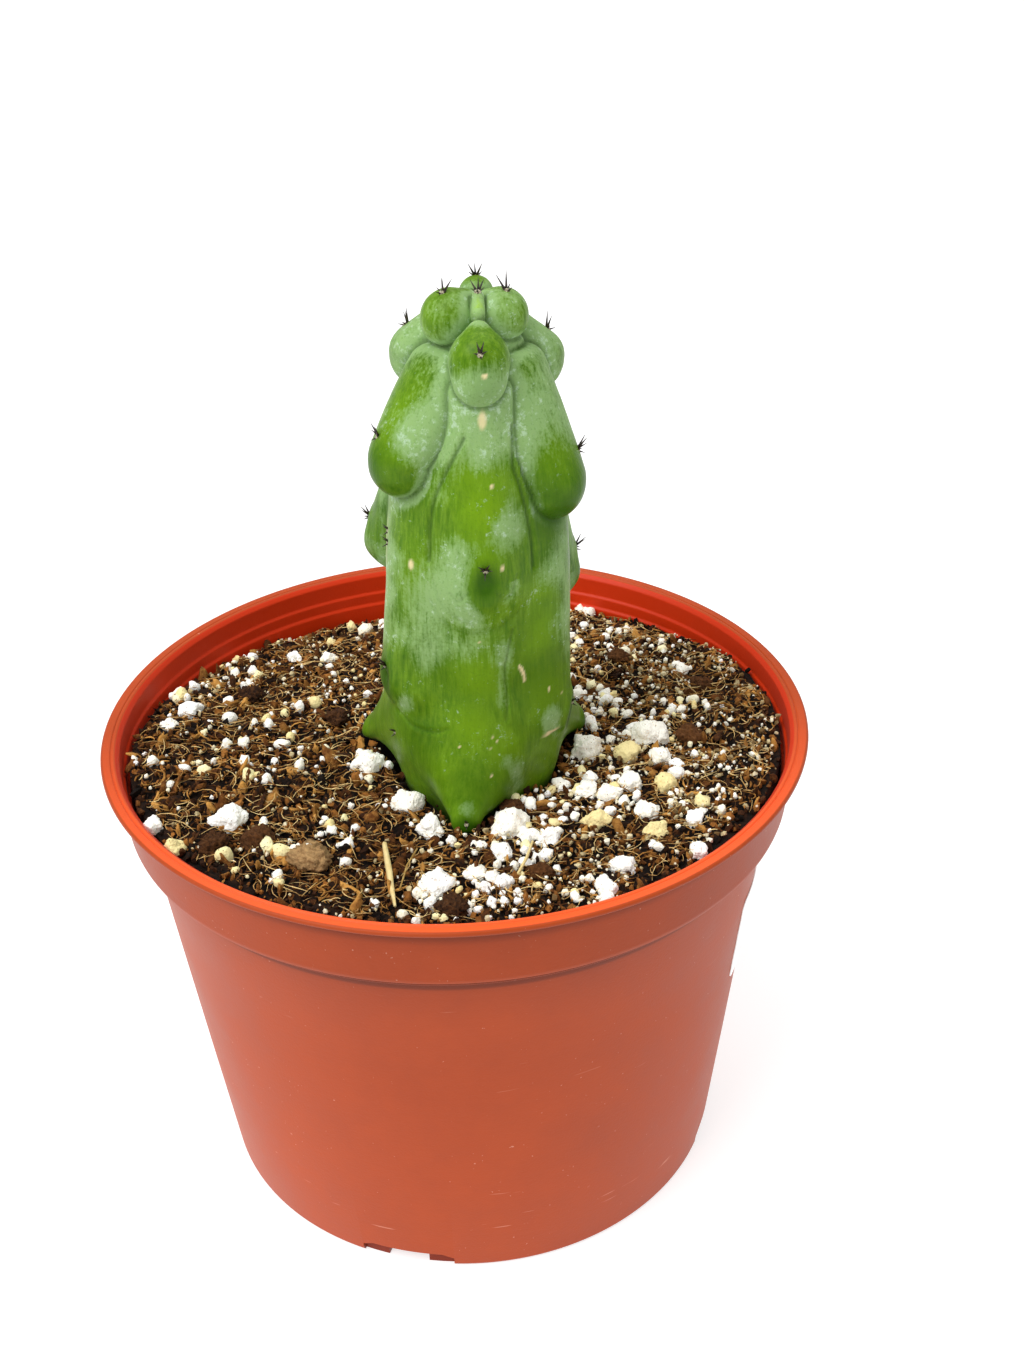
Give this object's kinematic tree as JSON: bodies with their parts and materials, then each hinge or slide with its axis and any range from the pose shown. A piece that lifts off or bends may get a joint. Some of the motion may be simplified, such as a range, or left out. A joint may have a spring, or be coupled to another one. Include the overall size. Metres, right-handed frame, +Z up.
{
  "type": "potted boobie cactus",
  "caption": "Short ribbed cactus with overlapping rounded lobes, standing in a round tapered nursery pot of bark and perlite mix.",
  "frame": {"origin": "centre of the pot's foot, on the plane it stands on", "axes": "+Z up, -Y towards the front, +X to the right; the label is on the right"},
  "size_m": [0.203, 0.203, 0.2791],
  "materials": {
    "pot": "satin moulded polypropylene",
    "soil": "loose bark, coir and perlite",
    "cactus": "waxy plant skin with a pale bloom",
    "label": "plain white paper"
  },
  "bodies": {
    "root": {"pot": "pot", "soil": "soil", "cactus": "cactus", "label": "label"}
  },
  "joints": []
}
